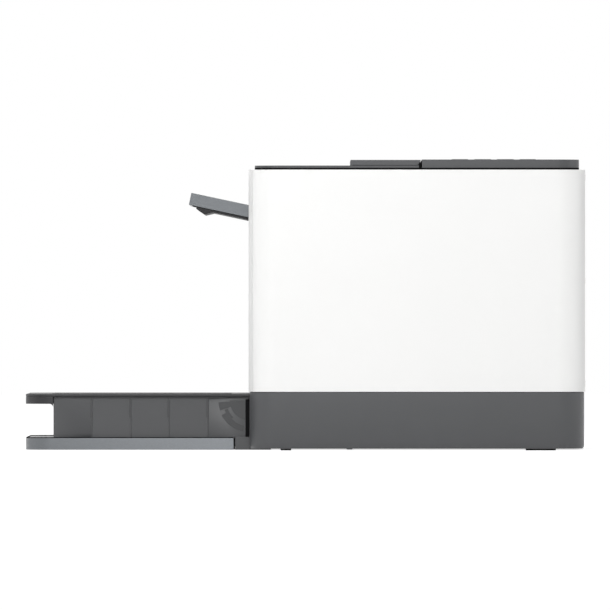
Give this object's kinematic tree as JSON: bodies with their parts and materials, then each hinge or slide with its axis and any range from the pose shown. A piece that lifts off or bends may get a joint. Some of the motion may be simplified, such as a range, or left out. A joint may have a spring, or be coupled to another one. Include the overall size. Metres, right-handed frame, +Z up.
{
  "type": "laser printer",
  "caption": "Desktop multifunction laser printer with its paper cassette drawn out, its control panel tilted up, and a sheet feeder and flatbed scanner on top.",
  "frame": {"origin": "centre of the footprint of the whole object with its cassette drawn out, on the desk that its feet stand on", "axes": "+Z up, -Y towards the front, where the cassette comes out, +X to the right side"},
  "size_m": [0.439, 0.5688, 0.2959],
  "materials": {
    "base_housing": "fine satin texture",
    "bay_plate": "fine texture",
    "slide_rails": "fine texture",
    "feet": "matte",
    "side_covers": "fine satin texture",
    "rear_cover": "fine satin texture",
    "front_bezel": "fine satin texture",
    "front_frame": "fine texture",
    "side_frames": "zinc plated",
    "laser_housing": "fine texture",
    "polygon_mirror": "polished",
    "toner_hopper": "fine texture",
    "photo_drum": "coated",
    "developer_roller": "matte",
    "transfer_roller": "matte",
    "fuser_housing": "fine texture",
    "heat_roller": "coated",
    "pressure_roller": "matte",
    "fuser_lamp": "clear",
    "registration_roller": "matte",
    "pick_roller": "matte",
    "exit_roller": "matte",
    "turn_guide": "fine texture",
    "drive_motor": "matte",
    "motor_pinion": "zinc plated",
    "main_board": "solder mask",
    "power_supply": "zinc plated",
    "mains_inlet": "fine texture",
    "port_sockets": "zinc plated",
    "fan_frame": "fine texture",
    "fan_rotor": "fine texture",
    "rear_door": "fine satin texture",
    "front_door": "fine satin texture",
    "scanner_bed": "satin",
    "scanner_glass": "polished",
    "scan_carriage": "fine texture",
    "guide_rod": "zinc plated",
    "lid_hinges": "zinc plated",
    "scanner_lid": "fine satin texture",
    "lid_pad": "foam",
    "lid_rear_cover": "fine satin texture",
    "document_tray": "fine satin texture",
    "document_guide_front": "fine texture",
    "document_guide_rear": "fine texture",
    "feeder_cover": "fine satin texture",
    "feeder_roller": "matte",
    "cassette_tray": "fine satin texture",
    "cassette_front": "fine satin texture",
    "lift_plate": "zinc plated",
    "side_guide_left": "satin",
    "side_guide_right": "satin",
    "length_guide": "satin",
    "output_deck": "satin",
    "deck_lip": "satin",
    "output_extension": "satin",
    "paper_stop": "satin",
    "panel_housing": "satin",
    "panel_underside": "satin",
    "display_glass": "polished",
    "power_button": "gloss"
  },
  "bodies": {
    "body": {"base_housing": "base_housing", "bay_plate": "bay_plate", "slide_rails": "slide_rails", "feet": "feet", "side_covers": "side_covers", "rear_cover": "rear_cover", "front_bezel": "front_bezel", "front_frame": "front_frame", "side_frames": "side_frames", "laser_housing": "laser_housing", "toner_hopper": "toner_hopper", "fuser_housing": "fuser_housing", "fuser_lamp": "fuser_lamp", "turn_guide": "turn_guide", "drive_motor": "drive_motor", "main_board": "main_board", "power_supply": "power_supply", "mains_inlet": "mains_inlet", "port_sockets": "port_sockets", "fan_frame": "fan_frame", "scanner_bed": "scanner_bed", "scanner_glass": "scanner_glass", "guide_rod": "guide_rod", "lid_hinges": "lid_hinges"},
    "cassette": {"cassette_tray": "cassette_tray", "cassette_front": "cassette_front"},
    "deck": {"output_deck": "output_deck", "deck_lip": "deck_lip"},
    "panel": {"panel_housing": "panel_housing", "panel_underside": "panel_underside", "display_glass": "display_glass"},
    "lid": {"scanner_lid": "scanner_lid", "lid_pad": "lid_pad", "lid_rear_cover": "lid_rear_cover"},
    "polygon_mirror": {"polygon_mirror": "polygon_mirror"},
    "photo_drum": {"photo_drum": "photo_drum"},
    "developer_roller": {"developer_roller": "developer_roller"},
    "transfer_roller": {"transfer_roller": "transfer_roller"},
    "heat_roller": {"heat_roller": "heat_roller"},
    "pressure_roller": {"pressure_roller": "pressure_roller"},
    "registration_roller": {"registration_roller": "registration_roller"},
    "pick_roller": {"pick_roller": "pick_roller"},
    "exit_roller": {"exit_roller": "exit_roller"},
    "motor_pinion": {"motor_pinion": "motor_pinion"},
    "fan_rotor": {"fan_rotor": "fan_rotor"},
    "rear_door": {"rear_door": "rear_door"},
    "front_door": {"front_door": "front_door"},
    "scan_carriage": {"scan_carriage": "scan_carriage"},
    "document_tray": {"document_tray": "document_tray"},
    "document_guide_front": {"document_guide_front": "document_guide_front"},
    "document_guide_rear": {"document_guide_rear": "document_guide_rear"},
    "feeder_cover": {"feeder_cover": "feeder_cover"},
    "feeder_roller": {"feeder_roller": "feeder_roller"},
    "lift_plate": {"lift_plate": "lift_plate"},
    "side_guide_left": {"side_guide_left": "side_guide_left"},
    "side_guide_right": {"side_guide_right": "side_guide_right"},
    "length_guide": {"length_guide": "length_guide"},
    "output_extension": {"output_extension": "output_extension"},
    "paper_stop": {"paper_stop": "paper_stop"},
    "power_button": {"power_button": "power_button"}
  },
  "joints": [
    {"name": "cassette_slide", "type": "slide", "parent": "body", "child": "cassette", "axis": [0, -1, 0], "range_m": [-0.2268, 0]},
    {"name": "deck_lift", "type": "hinge", "parent": "cassette", "child": "deck", "pos_m": [0, -0.0564, 0.051], "axis": [-1, 0, 0], "range_deg": [0, 30]},
    {"name": "extension_slide", "type": "slide", "parent": "deck", "child": "output_extension", "axis": [0, -1, 0], "range_m": [0, 0.11]},
    {"name": "paper_stop_flip", "type": "hinge", "parent": "output_extension", "child": "paper_stop", "pos_m": [0, -0.2802, 0.0558], "axis": [1, 0, 0], "range_deg": [0, 75]},
    {"name": "lift_plate_tilt", "type": "hinge", "parent": "cassette", "child": "lift_plate", "pos_m": [0, -0.1754, 0.016], "axis": [1, 0, 0], "range_deg": [0, 8]},
    {"name": "side_guide_left_slide", "type": "slide", "parent": "cassette", "child": "side_guide_left", "axis": [1, 0, 0], "range_m": [0, 0.032]},
    {"name": "side_guide_right_slide", "type": "slide", "parent": "cassette", "child": "side_guide_right", "axis": [-1, 0, 0], "range_m": [0, 0.032]},
    {"name": "length_guide_slide", "type": "slide", "parent": "cassette", "child": "length_guide", "axis": [0, 1, 0], "range_m": [0, 0.06]},
    {"name": "panel_tilt", "type": "hinge", "parent": "body", "child": "panel", "pos_m": [0, -0.0496, 0.2396], "axis": [1, 0, 0], "range_deg": [0, 102]},
    {"name": "power_button_press", "type": "slide", "parent": "panel", "child": "power_button", "axis": [0, -0.2079, -0.9781], "range_m": [0, 0.001], "stiffness_N_per_m": 400},
    {"name": "front_door_swing", "type": "hinge", "parent": "body", "child": "front_door", "pos_m": [0, -0.05585, 0.108], "axis": [1, 0, 0], "range_deg": [0, 90]},
    {"name": "rear_door_swing", "type": "hinge", "parent": "body", "child": "rear_door", "pos_m": [0, 0.28315, 0.066], "axis": [-1, 0, 0], "range_deg": [0, 80]},
    {"name": "lid_swing", "type": "hinge", "parent": "body", "child": "lid", "pos_m": [0, 0.2726, 0.2896], "axis": [-1, 0, 0], "range_deg": [0, 70]},
    {"name": "document_tray_tip", "type": "hinge", "parent": "lid", "child": "document_tray", "pos_m": [0, 0.1134, 0.2925], "axis": [-1, 0, 0], "range_deg": [0, 60]},
    {"name": "feeder_cover_swing", "type": "hinge", "parent": "lid", "child": "feeder_cover", "pos_m": [-0.21, 0.1134, 0.291], "axis": [0, -1, 0], "range_deg": [0, 75]},
    {"name": "document_guide_front_slide", "type": "slide", "parent": "lid", "child": "document_guide_front", "axis": [0, 1, 0], "range_m": [0, 0.04]},
    {"name": "document_guide_rear_slide", "type": "slide", "parent": "lid", "child": "document_guide_rear", "axis": [0, -1, 0], "range_m": [0, 0.04]},
    {"name": "feeder_roller_spin", "type": "hinge", "parent": "lid", "child": "feeder_roller", "pos_m": [-0.154, 0.1134, 0.2882], "axis": [0, 1, 0], "continuous": true},
    {"name": "carriage_slide", "type": "slide", "parent": "body", "child": "scan_carriage", "axis": [1, 0, 0], "range_m": [0, 0.304]},
    {"name": "drum_spin", "type": "hinge", "parent": "body", "child": "photo_drum", "pos_m": [0, 0.1714, 0.112], "axis": [1, 0, 0], "continuous": true},
    {"name": "motor_spin", "type": "hinge", "parent": "body", "child": "motor_pinion", "pos_m": [0, 0.1714, 0.16], "axis": [1, 0, 0], "continuous": true},
    {"name": "developer_spin", "type": "hinge", "parent": "body", "child": "developer_roller", "pos_m": [0, 0.1514, 0.118], "axis": [1, 0, 0], "continuous": true},
    {"name": "transfer_spin", "type": "hinge", "parent": "body", "child": "transfer_roller", "pos_m": [0, 0.1714, 0.0921], "axis": [1, 0, 0], "continuous": true},
    {"name": "registration_spin", "type": "hinge", "parent": "body", "child": "registration_roller", "pos_m": [0, 0.2054, 0.0915], "axis": [1, 0, 0], "continuous": true},
    {"name": "pick_spin", "type": "hinge", "parent": "body", "child": "pick_roller", "pos_m": [0, 0.2254, 0.066], "axis": [1, 0, 0], "continuous": true},
    {"name": "exit_spin", "type": "hinge", "parent": "body", "child": "exit_roller", "pos_m": [0, 0.0184, 0.084], "axis": [1, 0, 0], "continuous": true},
    {"name": "heat_spin", "type": "hinge", "parent": "body", "child": "heat_roller", "pos_m": [0, 0.0654, 0.1132], "axis": [1, 0, 0], "continuous": true},
    {"name": "pressure_spin", "type": "hinge", "parent": "body", "child": "pressure_roller", "pos_m": [0, 0.0654, 0.0868], "axis": [1, 0, 0], "continuous": true},
    {"name": "mirror_spin", "type": "hinge", "parent": "body", "child": "polygon_mirror", "pos_m": [0, 0.1974, 0.195], "axis": [0, 0, 1], "continuous": true},
    {"name": "fan_spin", "type": "hinge", "parent": "body", "child": "fan_rotor", "pos_m": [-0.105, 0.2744, 0.178], "axis": [0, 1, 0], "continuous": true}
  ],
  "couplings": [
    {"joint": "motor_spin", "follows": "drum_spin", "ratio": -3},
    {"joint": "developer_spin", "follows": "drum_spin", "ratio": -1.5789},
    {"joint": "transfer_spin", "follows": "drum_spin", "ratio": -1.6},
    {"joint": "registration_spin", "follows": "drum_spin", "ratio": -1.5},
    {"joint": "pick_spin", "follows": "drum_spin", "ratio": 0.6},
    {"joint": "exit_spin", "follows": "drum_spin", "ratio": -1.5},
    {"joint": "heat_spin", "follows": "drum_spin", "ratio": 0.9231},
    {"joint": "pressure_spin", "follows": "drum_spin", "ratio": -0.9231},
    {"joint": "side_guide_right_slide", "follows": "side_guide_left_slide", "ratio": 1},
    {"joint": "document_guide_rear_slide", "follows": "document_guide_front_slide", "ratio": 1}
  ]
}
